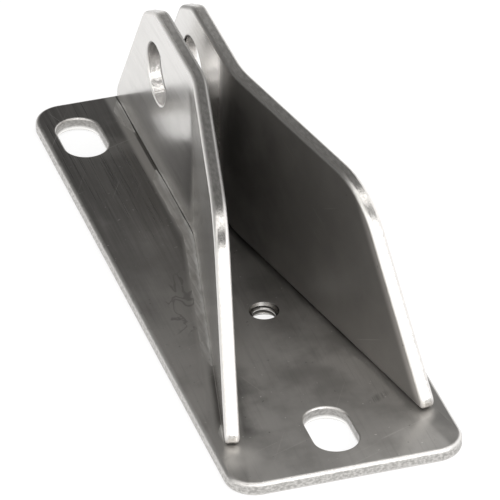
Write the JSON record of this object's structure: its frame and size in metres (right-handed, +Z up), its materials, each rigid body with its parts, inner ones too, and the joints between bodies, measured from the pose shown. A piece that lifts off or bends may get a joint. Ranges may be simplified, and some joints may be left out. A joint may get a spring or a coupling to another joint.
{
  "type": "welded clevis mounting bracket",
  "caption": "Bare stainless-steel bracket: a slotted rectangular base plate with two bent upright cheek plates that form a narrow clevis at the back and flare towards the front corners.",
  "frame": {"origin": "centre of the base plate's underside", "axes": "+Y along the base plate towards the narrow clevis end, +X to the right across the base plate, +Z up out of the base plate"},
  "size_m": [0.0762, 0.2266, 0.0649],
  "materials": {
    "plate_steel": "bare stainless plate, lengthwise brushed and handled",
    "cheek_steel": "bare stainless plate, smooth and softly polished",
    "weld_steel": "stainless weld metal, ground and blended"
  },
  "bodies": {
    "root": {"base_plate": "plate_steel", "left_cheek": "cheek_steel", "right_cheek": "cheek_steel", "left_rear_weld": "weld_steel", "left_middle_weld": "weld_steel", "left_toe_weld": "weld_steel", "right_rear_weld": "weld_steel", "right_middle_weld": "weld_steel", "right_toe_weld": "weld_steel"}
  },
  "joints": []
}
